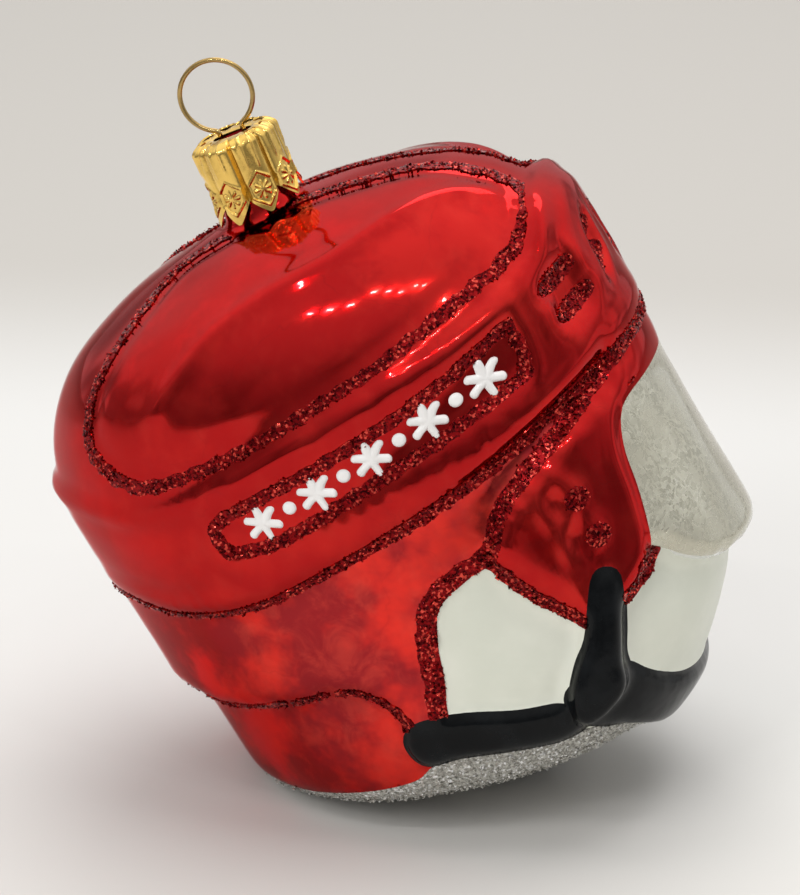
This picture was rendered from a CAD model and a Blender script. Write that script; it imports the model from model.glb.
"""Hanging glass ornament shaped like an ice hockey helmet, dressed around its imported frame."""

import logging
import math
from dataclasses import dataclass
from enum import Enum
from typing import Callable, Sequence

import bpy
import numpy as np
from mathutils import Matrix, Vector


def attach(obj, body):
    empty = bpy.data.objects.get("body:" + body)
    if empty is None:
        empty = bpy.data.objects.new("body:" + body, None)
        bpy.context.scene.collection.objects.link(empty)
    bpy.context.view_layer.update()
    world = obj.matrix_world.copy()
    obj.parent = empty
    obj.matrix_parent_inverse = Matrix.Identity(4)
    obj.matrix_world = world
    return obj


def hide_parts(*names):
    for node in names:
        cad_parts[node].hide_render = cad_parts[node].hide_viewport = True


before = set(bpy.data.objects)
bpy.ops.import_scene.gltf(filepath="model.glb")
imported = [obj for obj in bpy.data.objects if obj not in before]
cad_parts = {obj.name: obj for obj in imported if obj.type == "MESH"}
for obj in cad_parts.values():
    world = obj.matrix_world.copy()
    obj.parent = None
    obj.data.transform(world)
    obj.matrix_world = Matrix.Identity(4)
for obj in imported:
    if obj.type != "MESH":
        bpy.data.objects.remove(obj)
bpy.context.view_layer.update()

logging.basicConfig(level=logging.INFO, format="%(message)s")
LOG = logging.getLogger("ornament")

Places = list[tuple[float, float]]
Curves = list[Places]
Array = np.ndarray
Color = tuple[float, float, float]

MM = 0.001

# Cells along each side of the cube that a surface starts from
FINE_CUTS = 190
PLAIN_CUTS = 120
GLASS_CUTS = 60

# Rounds that even out a surface's points, and rounds that then soften its edges
RELAX_ROUNDS = 6
SOFTEN_ROUNDS = 3

# How far coats pass their outlines, in millimetres on the round form
COAT_REACH = 0.42
BLACK_REACH = 0.5
LIP_REACH = 0.35
CREST_REACH = 1.5

# Places where one coat gives way to the next, from the back of the round form
EAR_BACK = 36.0
EAR_FRONT = 62.0

# How far the glass and its silvering lie under the coats, in millimetres
GLASS_DEPTH = 1.7
LINING_DEPTH = 2.2

# Glitter: distance kept from other coats, and flakes per square millimetre
GLUE_GAP = 0.3
THICK_FLAKES = 10.0
EDGE_FLAKES = 9.5
UNDER_FLAKES = 3.2

# The open neck, in millimetres about the cap's axis
NECK_HOLE = 4.6
NECK_RADIUS = 5.2
NECK_BORE = 4.2
NECK_TOP = 8.9
NECK_FOOT = -2.6
NECK_FLARE = 0.5
NECK_FOOT_RISE = 1.4
NECK_ROUNDING = 0.25

# Outer corner of each raised form, and the fill where it meets what lies under it, in millimetres
CORNERS = {"shell": 0.7, "guard": 0.7, "visor": 1.0, "lip": 0.9, "black": 1.2, "band": 1.1, "stud": 0.5,
           "shoulder": 0.3, "sunk": 0.3, "scroll": 0.25}
FILLS = {"base": 1.5, "shell": 0.35, "guard": 0.35, "visor": 0.3, "lip": 0.3, "black": 0.5, "band": 0.5,
         "crown": 0.8, "shoulder": 1.1}

# Place across an outline, width and height of each rounded ridge or groove, in millimetres
RIDGES = {"shell": (-1.0, 0.9, 0.28), "panel": (-1.9, 1.1, 0.25), "band_groove": (-3.1, 0.9, 0.35),
          "band_bead": (-1.2, 0.9, 0.4), "vent_rim": (1.0, 0.6, 0.4), "recess_bead": (0.9, 0.6, 0.25),
          "curl": (0.6, 0.5, 0.65), "guard_rim": (-1.0, 0.7, 0.4)}


class Body(Enum):
    """Bodies of the frame that the pieces ride on."""

    ORNAMENT = "ornament"
    CAP = "cap"
    HANGER = "hanger"


def round_max(first: Array, second: Array, radius: float) -> Array:
    """Distance to what two forms share, with its outer corner rounded.

    Args:
        first: distance to the first form.
        second: distance to the second form.
        radius: radius of the corner.

    Returns:
        The distance to the shared form.
    """
    outer = np.hypot(np.maximum(first + radius, 0), np.maximum(second + radius, 0))
    return np.minimum(np.maximum(first, second), -radius) + outer


def round_min(first: Array, second: Array, radius: float) -> Array:
    """Distance to two forms together, with the inner corner between them filled.

    Args:
        first: distance to the first form.
        second: distance to the second form.
        radius: radius of the fill.

    Returns:
        The distance to both forms.
    """
    inner = np.hypot(np.maximum(radius - first, 0), np.maximum(radius - second, 0))
    return np.maximum(np.minimum(first, second), radius) - inner


def smooth_step(share: Array) -> Array:
    """Smooth rise from 0 to 1 over a share that is held between them."""
    share = np.clip(share, 0, 1)
    return share * share * (3 - 2 * share)


def ridge(gap: Array, key: str) -> Array:
    """Height of a named ridge that follows an outline.

    Args:
        gap: distance to the outline.
        key: the ridge's name.

    Returns:
        The height at each place.
    """
    place, width, height = RIDGES[key]
    return height * np.exp(-((gap - place) / width) ** 2)


def smooth_run(places: Places, steps: int = 6) -> Array:
    """Smooth curve through the places of an open run.

    Args:
        places: places that the curve passes.
        steps: parts that each span is divided into.

    Returns:
        The curve's places, one row each.
    """
    knots = np.array(places, float)
    if len(knots) < 3:
        return knots
    padded = np.vstack([2 * knots[0] - knots[1], knots, 2 * knots[-1] - knots[-2]])
    runs = []
    for i in range(1, len(padded) - 2):
        before, start, stop, after = padded[i - 1], padded[i], padded[i + 1], padded[i + 2]
        share = np.linspace(0, 1, steps, endpoint=False)[:, None]
        runs.append(0.5 * (2 * start + (stop - before) * share
                           + (2 * before - 5 * start + 4 * stop - after) * share ** 2
                           + (3 * start - before - 3 * stop + after) * share ** 3))
    return np.vstack(runs + [knots[-1:]])


def closed_run(places: Places, steps: int = 6) -> Array:
    """Smooth closed curve through places.

    Args:
        places: places that the curve passes.
        steps: parts of each span.

    Returns:
        The curve's places, one row each.
    """
    around = places[-2:] + places + places[:3]
    whole = smooth_run(around, steps)
    return whole[2 * steps:(2 + len(places)) * steps]


def run_distance(points: Array, run: Array, closed: bool) -> Array:
    """Distance from points to a run, with a sign inside a closed one.

    Args:
        points: places in the plane, one row each.
        run: the run's places.
        closed: whether the run closes, which makes the distance negative inside.

    Returns:
        The distance of each point.
    """
    best = np.full(len(points), 1e9)
    inside = np.zeros(len(points), bool)
    stops = np.roll(run, -1, axis=0) if closed else run[1:]
    for start, stop in zip(run, stops):
        way = stop - start
        long = max(way @ way, 1e-12)
        gap = points - start
        share = np.clip((gap @ way) / long, 0, 1)
        off = gap - share[:, None] * way
        best = np.minimum(best, np.einsum("ij,ij->i", off, off))
        if closed:
            cross = (start[1] > points[:, 1]) != (stop[1] > points[:, 1])
            if cross.any() and stop[1] != start[1]:
                at = start[0] + (points[:, 1] - start[1]) * way[0] / (stop[1] - start[1])
                inside ^= cross & (points[:, 0] < at)
    best = np.sqrt(best)
    return np.where(inside, -best, best) if closed else best


class Outline:
    """Distance to an outline that is seen from the side, kept on a fine grid."""

    low = np.array([-9.0, -28.0])
    high = np.array([93.0, 84.0])
    step = 0.3

    def __init__(self, run: Array, closed: bool = True) -> None:
        """Fills the grid from a run.

        Args:
            run: the outline's places.
            closed: whether the outline closes.
        """
        counts = ((self.high - self.low) / self.step).astype(int) + 1
        across, up = np.meshgrid(*(self.low[i] + self.step * np.arange(counts[i]) for i in (0, 1)),
                                 indexing="ij")
        points = np.column_stack([across.ravel(), up.ravel()])
        self.field = run_distance(points, run, closed).reshape(counts).astype(np.float32)

    def at(self, across: Array, up: Array) -> Array:
        """Distance at places.

        Args:
            across: first coordinate of each place.
            up: second coordinate of each place.

        Returns:
            The distance of each place to the outline.
        """
        cols, rows = self.field.shape
        u = np.clip((across - self.low[0]) / self.step, 0, cols - 1.001)
        v = np.clip((up - self.low[1]) / self.step, 0, rows - 1.001)
        i, j = u.astype(int), v.astype(int)
        u, v = u - i, v - j
        near = self.field[i, j] * (1 - v) + self.field[i, j + 1] * v
        far = self.field[i + 1, j] * (1 - v) + self.field[i + 1, j + 1] * v
        return near * (1 - u) + far * u


@dataclass(frozen=True)
class HeadSizes:
    """Sizes of the moulded head in millimetres, as in the part's source."""

    length: float = 83.0
    width: float = 64.0
    crown_height: float = 78.0
    layback_deg: float = 30.5
    shift_x: float = -18.075
    table_height: float = 8.65
    crown_top_radius: float = 80.0
    crown_corner_radius: float = 22.0
    band_proud: float = 1.7
    band_middle: float = 48.0
    band_half: float = 17.0
    band_rounding: float = 6.0
    recess_depth: float = 1.3
    vent_depth: float = 1.5
    vent_length: float = 5.4
    vent_height: float = 2.9
    vent_slope_deg: float = 12.0
    front_vent_length: float = 6.4
    front_vent_height: float = 2.5
    front_vent_slope_deg: float = 32.0
    lower_inset: float = 4.0
    chin_depth: float = 10.0
    chin_rounding: float = 22.0
    hem_height: float = 7.8
    hem_slope_deg: float = 17.0
    hem_rounding: float = 4.0
    shell_proud: float = 1.2
    guard_proud: float = 0.5
    visor_drop: float = 0.5
    lip_inset: float = 0.9
    lip_rounding: float = 1.1
    strap_proud: float = 1.9
    arm_proud: float = 0.9
    cup_proud: float = 1.7
    scroll_depth: float = 0.5
    scroll_radius: float = 2.0
    stud_radius: float = 1.7
    stud_proud: float = 0.5
    base_radius: float = 24.0
    base_forward: float = 43.0
    table_cut: float = 0.6
    neck_forward: float = 45.9
    neck_lean_deg: float = 8.4
    cap_foot: float = 79.9
    panel_view_deg: float = 40.0
    rear_reach: float = 30.0
    rear_band_inset: float = 1.3
    rear_shell_inset: float = 1.3
    rear_collar_inset: float = 1.7
    chin_tuck: float = 1.5
    tuck_start: float = 60.0
    tuck_reach: float = 14.0
    tuck_top: float = 7.0
    tuck_height: float = 10.0
    crease_height: float = 0.75
    crease_width: float = 1.9
    crease_fade: float = 5.0
    crown_seat: float = 1.0
    crown_tuck: float = 2.0
    wobble: float = 0.09
    shoulder_radius: float = 5.3
    shoulder_rise: float = 0.9

    @property
    def half(self) -> float:
        """Half of the head's length."""
        return self.length / 2

    @property
    def squeeze(self) -> float:
        """Share that the round form is narrowed to."""
        return self.width / self.length

    def place(self, points: Array) -> Array:
        """Moves points of the round form to the frame.

        Args:
            points: places in millimetres on the round, upright form.

        Returns:
            The places in metres in the frame.
        """
        lay = math.radians(self.layback_deg)
        x, y, z = points[:, 0], points[:, 1] * self.squeeze, points[:, 2]
        across = x * math.cos(lay) - z * math.sin(lay) + self.shift_x
        up = x * math.sin(lay) + z * math.cos(lay) - self.table_height
        return np.column_stack([across, y, up]) * MM

    def neck_matrix(self) -> Matrix:
        """Matrix from the cap's own axis, in metres, to the frame."""
        foot = self.place(np.array([[self.neck_forward, 0, self.cap_foot]]))[0]
        lean = math.radians(self.neck_lean_deg - self.layback_deg)
        return Matrix.Translation(Vector(foot)) @ Matrix.Rotation(lean, 4, "Y")


def shares(places: Places, sizes: HeadSizes) -> Places:
    """Outline places from shares of the head's length and the crown's height."""
    return [(x * sizes.length, z * sizes.crown_height) for x, z in places]


BAND_TOP: Places = [(-0.06, 0.79), (0.088, 0.735), (0.176, 0.699), (0.34, 0.694), (0.494, 0.706),
                    (0.64, 0.715), (0.806, 0.723), (0.925, 0.742), (0.958, 0.78), (0.972, 0.838),
                    (1.06, 0.85)]
BAND_LOW: Places = [(-0.06, 0.56), (0.055, 0.535), (0.148, 0.494), (0.286, 0.472), (0.48, 0.482),
                    (0.71, 0.496), (0.91, 0.522), (1.06, 0.54)]
RECESS: Places = [(0.285, 0.595), (0.298, 0.632), (0.36, 0.645), (0.55, 0.653), (0.74, 0.668),
                  (0.862, 0.687), (0.876, 0.672), (0.87, 0.6), (0.855, 0.582), (0.75, 0.571),
                  (0.55, 0.557), (0.4, 0.546), (0.325, 0.552), (0.292, 0.568)]
SHELL_LOW: Places = [(-0.06, 0.345), (0.054, 0.319), (0.13, 0.288), (0.258, 0.27), (0.333, 0.26),
                     (0.375, 0.233), (0.398, 0.19), (0.406, 0.136), (0.406, 0.1), (0.463, 0.1),
                     (0.463, 0.146), (0.485, 0.196), (0.51, 0.268), (0.546, 0.325), (0.607, 0.345),
                     (0.663, 0.347)]
GUARD_LINE: Places = [(0.663, 0.347), (0.683, 0.362), (0.722, 0.406), (0.8, 0.442), (0.868, 0.465),
                      (0.941, 0.495), (1.06, 0.53)]
GUARD_FRONT: Places = [(1.06, 0.455), (0.99, 0.45), (0.939, 0.437), (0.912, 0.382), (0.898, 0.299),
                       (0.881, 0.226), (0.865, 0.195)]
GUARD_LOW: Places = [(0.835, 0.168), (0.79, 0.158), (0.748, 0.167), (0.717, 0.214), (0.689, 0.27)]
VISOR_LOW: Places = [(0.884, 0.218), (0.896, 0.176), (0.914, 0.144), (0.935, 0.118), (0.961, 0.097),
                     (1.0, 0.082), (1.06, 0.08)]
STRAP: Places = [(0.381, 0.112), (0.396, 0.138), (0.43, 0.146), (0.5, 0.121), (0.57, 0.08),
                 (0.63, 0.052), (0.66, 0.03), (0.645, -0.012), (0.6, -0.012), (0.53, 0.02),
                 (0.45, 0.056), (0.393, 0.07)]
ARM: Places = [(0.786, 0.222), (0.804, 0.226), (0.817, 0.205), (0.804, 0.165), (0.778, 0.11),
               (0.757, 0.07), (0.738, 0.02), (0.66, 0.0), (0.655, 0.05), (0.69, 0.1),
               (0.725, 0.132), (0.755, 0.176)]
CUP: Places = [(0.65, 0.06), (0.7, 0.078), (0.745, 0.058), (0.764, 0.01), (0.784, -0.045),
               (0.812, -0.095), (0.85, -0.16), (0.96, -0.24), (0.95, -0.3), (0.76, -0.22),
               (0.7, -0.075), (0.665, -0.035), (0.645, 0.0)]
HEM: Places = [(-0.06, 0.14), (0.17, 0.077), (0.343, 0.046), (0.401, 0.06), (0.465, 0.048),
               (0.569, 0.004), (0.63, -0.018), (0.672, -0.04), (0.735, -0.085), (0.82, -0.118),
               (0.94, -0.13), (1.06, -0.13)]
STUDS: Places = [(0.824, 0.358), (0.824, 0.283)]
SCROLLS: Places = [(0.8, 0.369), (0.801, 0.295)]
VENTS: Places = [(0.955, 0.691), (0.96, 0.633)]
FRONT_VENTS: Places = [(0.067, 0.703), (0.073, 0.655)]
PANEL: Places = [(0.856, 0.664), (0.79, 0.69), (0.69, 0.7), (0.585, 0.708), (0.486, 0.71),
                 (0.39, 0.69), (0.3, 0.605), (0.25, 0.555), (0.19, 0.5), (0.154, 0.44),
                 (0.153, 0.395), (0.175, 0.335), (0.215, 0.285), (0.268, 0.256), (0.33, 0.234),
                 (0.42, 0.22), (0.52, 0.221), (0.64, 0.241), (0.746, 0.283), (0.838, 0.341),
                 (0.9, 0.395), (0.94, 0.465), (0.96, 0.54), (0.945, 0.59), (0.91, 0.628)]
CREASE: Places = [(0.3, 0.36), (0.43, 0.429), (0.531, 0.457), (0.67, 0.478), (0.783, 0.535),
                 (0.848, 0.562), (0.92, 0.572)]
MOTIF_RUN: Places = [(0.38, 0.597), (0.8, 0.624)]


class HeadForm:
    """The moulded head as one distance field over the round, upright form."""

    centre = np.array([41.5, 0.0, 34.0])
    start = 78.0
    axis_low = 10.0
    axis_high = 58.0
    probe = 0.04
    far = 50.0
    overlap = 1.5

    def __init__(self, sizes: HeadSizes) -> None:
        """Prepares every outline.

        Args:
            sizes: sizes of the head.
        """
        self.sizes = sizes
        spread = {key: shares(run, sizes) for key, run in {
            "band_top": BAND_TOP, "band_low": BAND_LOW, "shell_low": SHELL_LOW,
            "guard_line": GUARD_LINE, "guard_front": GUARD_FRONT, "guard_low": GUARD_LOW,
            "visor_low": VISOR_LOW, "hem": HEM}.items()}
        front, back = spread["band_top"][-1][0], spread["band_top"][0][0]
        rise = sizes.lip_rounding
        brow = (front - self.overlap, spread["guard_front"][0][1] + self.overlap)
        self.zones = {
            "band": self.ring([spread["band_top"], spread["band_low"][::-1]]),
            "under_crown": self.ring([spread["band_top"], [(front, -sizes.half), (back, -sizes.half)]]),
            "shell": self.ring([spread["shell_low"][:9], spread["shell_low"][9:],
                                spread["guard_line"][1:],
                                [(front, sizes.band_middle), (back, sizes.band_middle)]]),
            "guard": self.ring([spread["guard_line"], spread["guard_front"], spread["guard_low"]]),
            "visor": self.ring([[(x - self.overlap, z) for x, z in spread["guard_front"][1:-1]],
                                spread["visor_low"][1:],
                                [spread["guard_front"][0], brow]]),
            "lip": self.ring([[(x, z + rise) for x, z in spread["visor_low"][1:]],
                              [(x, z - rise) for x, z in spread["visor_low"][:0:-1]]]),
            "hem": self.ring([spread["hem"], [(front, -sizes.half), (back, -sizes.half)]]),
        }
        for key, run in (("recess", RECESS), ("strap", STRAP), ("arm", ARM), ("cup", CUP),
                         ("panel", PANEL)):
            self.zones[key] = Outline(closed_run(shares(run, sizes)))
        self.crease = Outline(smooth_run(shares(CREASE, sizes)), closed=False)

    @staticmethod
    def ring(curves: Curves) -> Outline:
        """Outline of smooth curves joined end to end."""
        return Outline(np.vstack([smooth_run(curve) for curve in curves]))

    def channels(self, points: Array) -> dict[str, Array]:
        """Distances to every outline at points of the round form.

        Args:
            points: places on the round form, one row each.

        Returns:
            One array per outline, by its name.
        """
        x, y, z = points.T
        found = {key: zone.at(x, z) for key, zone in self.zones.items() if key != "panel"}
        view = math.radians(self.sizes.panel_view_deg)
        lifted = z * math.cos(view) - np.abs(y) * math.sin(view)
        found["panel"] = np.where(z > self.sizes.band_middle, self.zones["panel"].at(x, lifted), self.far)
        found["crease"] = self.crease.at(x, lifted)
        found["neck"], found["neck_rise"] = self.neck_distance(points)
        found["x"], found["y"], found["z"] = x, y, z
        found["vent"] = self.vent_distance(points)
        found["stud"] = self.disc_distance(points, STUDS, self.sizes.stud_radius)
        return found

    def slot_distance(self, u: Array, v: Array, length: float, height: float, slope: float) -> Array:
        """Distance to a round-ended slot about the origin.

        Args:
            u: place along the first axis.
            v: place along the second axis.
            length: the slot's length, end to end.
            height: the slot's height.
            slope: its slope in degrees.

        Returns:
            The distance of each place.
        """
        turn = math.radians(slope)
        along = u * math.cos(turn) + v * math.sin(turn)
        off = v * math.cos(turn) - u * math.sin(turn)
        return np.hypot(np.maximum(np.abs(along) - (length - height) / 2, 0), off) - height / 2

    def neck_distance(self, points: Array) -> tuple[Array, Array]:
        """Distance from the neck's axis, and height above its foot.

        Args:
            points: places on the round form, one row each.

        Returns:
            The distance from the axis, and the height.
        """
        s = self.sizes
        lean = math.radians(s.neck_lean_deg)
        x, z = points[:, 0] - s.neck_forward, points[:, 2] - s.cap_foot
        off = x * math.cos(lean) - z * math.sin(lean)
        return (np.hypot(off, points[:, 1] * s.squeeze),
                x * math.sin(lean) + z * math.cos(lean))

    def vent_distance(self, points: Array) -> Array:
        """Distance to the nearest vent's outline.

        Args:
            points: places on the round form, one row each.

        Returns:
            The distance of each place.
        """
        s = self.sizes
        x, y, z = points.T
        best = np.full(len(x), self.far)
        for place_x, place_z in shares(VENTS, s):
            best = np.minimum(best, self.slot_distance(x - place_x, z - place_z, s.vent_length,
                                                       s.vent_height, s.vent_slope_deg))
        for place_y, place_z in shares(FRONT_VENTS, s):
            front = self.slot_distance(np.abs(y) - place_y, z - place_z, s.front_vent_length,
                                       s.front_vent_height, -s.front_vent_slope_deg)
            best = np.minimum(best, np.where(x > s.half, front, self.far))
        return best

    def disc_distance(self, points: Array, places: Places, radius: float) -> Array:
        """Distance to the nearest of some discs, seen from the side.

        Args:
            points: places on the round form, one row each.
            places: middles of the discs, as shares.
            radius: their radius.

        Returns:
            The distance of each place.
        """
        x, _, z = points.T
        found = [np.hypot(x - px, z - pz) for px, pz in shares(places, self.sizes)]
        return np.minimum.reduce(found) - radius

    def distance(self, points: Array) -> Array:
        """Distance from points to the head's surface, negative inside.

        Args:
            points: places on the round form, one row each.

        Returns:
            The distance of each point.
        """
        s = self.sizes
        c = self.channels(points)
        x, y, z = points.T
        rear = smooth_step((s.rear_reach - x) / s.rear_reach)
        wide = np.hypot(x - s.half, y)
        front = wide - s.half - s.guard_proud
        tuck = np.clip((x - s.tuck_start) / s.tuck_reach, 0, 1)
        tuck = smooth_step(tuck * np.clip((s.tuck_top - z) / s.tuck_height, 0, 1))
        lower = self.lower(points) + s.rear_shell_inset * rear + s.chin_tuck * tuck
        black = round_min(round_max(lower - s.strap_proud, c["strap"], CORNERS["black"]),
                          round_max(front - s.arm_proud, c["arm"], CORNERS["black"]), CORNERS["black"])
        cup = round_max(lower - s.cup_proud, c["cup"], CORNERS["black"])
        visor = front + s.visor_drop
        forms = {
            "base": self.base(points),
            "shell": round_max(lower - s.shell_proud - ridge(c["shell"], "shell"), c["shell"],
                               CORNERS["shell"]),
            "guard": self.guard(points, front, c),
            "visor": round_max(visor, c["visor"], CORNERS["visor"]),
            "lip": round_max(visor + s.lip_inset, c["lip"], CORNERS["lip"]),
            "black": round_min(black, cup, CORNERS["black"]),
            "band": self.band(wide + s.rear_band_inset * rear, z, c),
            "crown": self.crown(wide, z, c),
            "shoulder": round_max(c["neck"] - s.shoulder_radius, c["neck_rise"] - s.shoulder_rise,
                                  CORNERS["shoulder"]),
        }
        tip = math.radians(s.hem_slope_deg)
        hem = -(x * math.sin(tip) + (z - s.hem_height) * math.cos(tip))
        whole = round_max(lower + s.rear_collar_inset * rear, hem, s.hem_rounding)
        for key, form in forms.items():
            whole = round_min(whole, form, FILLS[key])
        whole += s.wobble * np.sin(0.31 * x + 1.0) * np.sin(0.27 * y + 0.4) * np.cos(0.29 * z)
        lay = math.radians(s.layback_deg)
        table = s.table_height - (x * math.sin(lay) + z * math.cos(lay))
        return round_max(whole, table, 0.15)

    def lower(self, points: Array) -> Array:
        """Distance to the narrower lower head, with its rounded chin.

        Args:
            points: places on the round form, one row each.

        Returns:
            The distance of each place.
        """
        s = self.sizes
        x, y, z = points.T
        middle = s.half - s.lower_inset / 2
        narrow = np.hypot(x - middle, y)
        low = s.chin_rounding - s.chin_depth
        chin = np.hypot(np.maximum(narrow - middle + s.chin_rounding, 0), z - low) - s.chin_rounding
        lower = np.where(z < low, chin, narrow - middle)
        return np.maximum(lower, z - s.band_middle - s.crown_seat)

    def base(self, points: Array) -> Array:
        """Distance to the dome under the head, which its resting flat cuts.

        Args:
            points: places on the round form, one row each.

        Returns:
            The distance of each place.
        """
        s = self.sizes
        x, y, z = points.T
        lay = math.radians(s.layback_deg)
        rise = s.table_height + s.base_radius - s.table_cut - s.base_forward * math.sin(lay)
        return np.sqrt((x - s.base_forward) ** 2 + y ** 2 + (z - rise / math.cos(lay)) ** 2) - s.base_radius

    def crown(self, wide: Array, z: Array, c: dict[str, Array]) -> Array:
        """Distance to the dome over the band, with a shallow crease round each side panel.

        Args:
            wide: distance from the form's upright middle line.
            z: height of each place.
            c: distances to the outlines.

        Returns:
            The distance of each place.
        """
        s = self.sizes
        side = s.half - s.crown_corner_radius
        low = s.crown_height - s.crown_top_radius
        rise = math.sqrt((s.crown_top_radius - s.crown_corner_radius) ** 2 - side ** 2)
        turn = math.atan2(rise, side)
        corner = np.hypot(wide - side, z - low - rise) - s.crown_corner_radius
        top = np.hypot(wide, z - low) - s.crown_top_radius
        at = np.arctan2(z - low - rise, wide - side)
        dome = np.where(z < low + rise, wide - s.half, np.where(at < turn, corner, top))
        fade = np.clip(-c["panel"] / s.crease_fade, 0, 1)
        crease = s.crease_height * np.exp(-np.abs(c["crease"] / s.crease_width) ** 1.6) * fade
        buried = np.maximum(s.band_middle - s.crown_seat - z, -s.crown_tuck - c["band"])
        return round_max(dome + ridge(c["panel"], "panel") - crease, buried, 0.2)

    def band(self, wide: Array, z: Array, c: dict[str, Array]) -> Array:
        """Distance to the brow band, with its sunk panels, its frames and its vents.

        Args:
            wide: distance from the form's upright middle line.
            z: height of each place.
            c: distances to the outlines.

        Returns:
            The distance of each place.
        """
        s = self.sizes
        out = wide - (s.half + s.band_proud - s.band_rounding)
        up = np.abs(z - s.band_middle) - (s.band_half - s.band_rounding)
        raw = (np.hypot(np.maximum(out, 0), np.maximum(up, 0))
               + np.minimum(np.maximum(out, up), 0) - s.band_rounding)
        groove = ridge(c["band"], "band_groove") * np.clip(c["recess"], 0, 1)
        beads = (ridge(c["band"], "band_bead") + ridge(c["vent"], "vent_rim")
                 + ridge(c["recess"], "recess_bead"))
        band = round_max(raw + groove - beads, c["band"], CORNERS["band"])
        for key, depth, rounding in (("recess", s.recess_depth, 0.5), ("vent", s.vent_depth, 0.45)):
            sunk = round_max(c[key], -(raw + depth), CORNERS["sunk"])
            band = round_max(band, -sunk, rounding)
        return band

    def guard(self, points: Array, front: Array, c: dict[str, Array]) -> Array:
        """Distance to the ear guards, with their scrolls and studs.

        Args:
            points: places on the round form, one row each.
            front: distance to the guards' upright wall.
            c: distances to the outlines.

        Returns:
            The distance of each place.
        """
        s = self.sizes
        scroll = self.disc_distance(points, SCROLLS, s.scroll_radius)
        curl = ridge(scroll, "curl") * (c["guard"] < -1)
        guard = round_max(front - ridge(c["guard"], "guard_rim") - curl, c["guard"], CORNERS["guard"])
        sunk = round_max(scroll, -(front + s.scroll_depth), CORNERS["scroll"])
        guard = round_max(guard, -sunk, CORNERS["sunk"])
        stud = round_max(front - s.stud_proud, c["stud"], CORNERS["stud"])
        return round_min(guard, stud, 0.3)

    def project(self, near: Array, inward: float = 0.0, passes: int = 36) -> Array:
        """Finds the surface along rays that leave the form's upright centre line.

        Args:
            near: a place on each ray.
            inward: depth below the surface that is looked for.
            passes: steps along each ray.

        Returns:
            A place on the surface for each ray.
        """
        origin = np.tile(self.centre, (len(near), 1))
        origin[:, 2] = np.clip(near[:, 2], self.axis_low, self.axis_high)
        ways = near - origin
        reach = np.linalg.norm(ways, axis=1)
        ways /= reach[:, None]
        for _ in range(passes):
            gap = self.distance(origin + reach[:, None] * ways) + inward
            reach = np.maximum(reach - 0.9 * gap, 2.0)
        return origin + reach[:, None] * ways

    def settle(self, points: Array, steps: int = 2) -> Array:
        """Moves points straight to the nearest surface, down or up the distance's slope.

        Args:
            points: places near the surface.
            steps: moves of each point.

        Returns:
            The places on the surface.
        """
        for _ in range(steps):
            gap = self.distance(points)
            slope = np.column_stack([self.distance(points + off) - gap for off in self.probe * np.eye(3)])
            slope /= self.probe
            share = np.clip(gap, -1, 1) / np.maximum(np.einsum("ij,ij->i", slope, slope), 0.5)
            points = points - share[:, None] * slope
        return points


@dataclass
class Patch:
    """Part of the head's surface as triangles, with its distances to every outline."""

    points: Array
    faces: Array
    values: dict[str, Array]

    def keep(self, wanted: Array) -> "Patch":
        """Cuts the patch where a value falls below zero.

        Args:
            wanted: one value per point, kept where it isn't negative.

        Returns:
            The patch that stays, with new points on the cut.
        """
        wanted = np.where(np.abs(wanted) < 1e-4, 1e-4, wanted)
        inside = wanted > 0
        count = inside[self.faces].sum(1)
        whole = self.faces[count == 3]
        one = self.turned(self.faces[count == 1], inside, True)
        two = self.turned(self.faces[count == 2], inside, False)
        pairs = np.vstack([one[:, [0, 1]], one[:, [0, 2]], two[:, [0, 1]], two[:, [0, 2]]])
        if not len(pairs):
            return self.used(whole)
        ends, index = np.unique(np.sort(pairs, axis=1), axis=0, return_inverse=True)
        index = index.reshape(-1) + len(self.points)
        first, second = ends.T
        share = wanted[first] / (wanted[first] - wanted[second])
        mix: Callable[[Array], Array] = lambda a: a[first] + (a[second] - a[first]) * (
            share[:, None] if a.ndim > 1 else share)
        points = np.vstack([self.points, mix(self.points)])
        values = {key: np.concatenate([v, mix(v)]) for key, v in self.values.items()}
        n, m = len(one), len(two)
        a, b = index[:n], index[n:2 * n]
        p, q = index[2 * n:2 * n + m], index[2 * n + m:]
        faces = np.vstack([whole, np.column_stack([one[:, 0], a, b]),
                           np.column_stack([p, two[:, 1], two[:, 2]]),
                           np.column_stack([p, two[:, 2], q])])
        return Patch(points, faces, values).used(faces)

    @staticmethod
    def turned(faces: Array, inside: Array, wanted: bool) -> Array:
        """Turns each triangle so that its odd corner comes first.

        Args:
            faces: triangles over the points.
            inside: which points lie inside.
            wanted: what the odd corner is.

        Returns:
            The turned triangles.
        """
        if not len(faces):
            return faces.reshape(0, 3)
        odd = (inside[faces] == wanted).argmax(1)
        return np.take_along_axis(faces, (odd[:, None] + np.arange(3)) % 3, axis=1)

    def used(self, faces: Array) -> "Patch":
        """Keeps only the points that some faces use.

        Args:
            faces: the faces that stay.

        Returns:
            The patch without loose points.
        """
        index, faces = np.unique(faces, return_inverse=True)
        return Patch(self.points[index], faces.reshape(-1, 3),
                     {key: v[index] for key, v in self.values.items()})

    def normals(self) -> Array:
        """Unit normal at every point.

        Returns:
            One direction per point.
        """
        a, b, c = (self.points[self.faces[:, i]] for i in range(3))
        flat = np.cross(b - a, c - a)
        total = np.zeros_like(self.points)
        for i in range(3):
            np.add.at(total, self.faces[:, i], flat)
        return total / np.maximum(np.linalg.norm(total, axis=1, keepdims=True), 1e-9)

    def raised(self, height: Array) -> "Patch":
        """Moves every point out along its normal."""
        return Patch(self.points + height[:, None] * self.normals(), self.faces, self.values)


def deselect() -> None:
    """Deselects every object."""
    bpy.ops.object.select_all(action="DESELECT")


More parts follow.
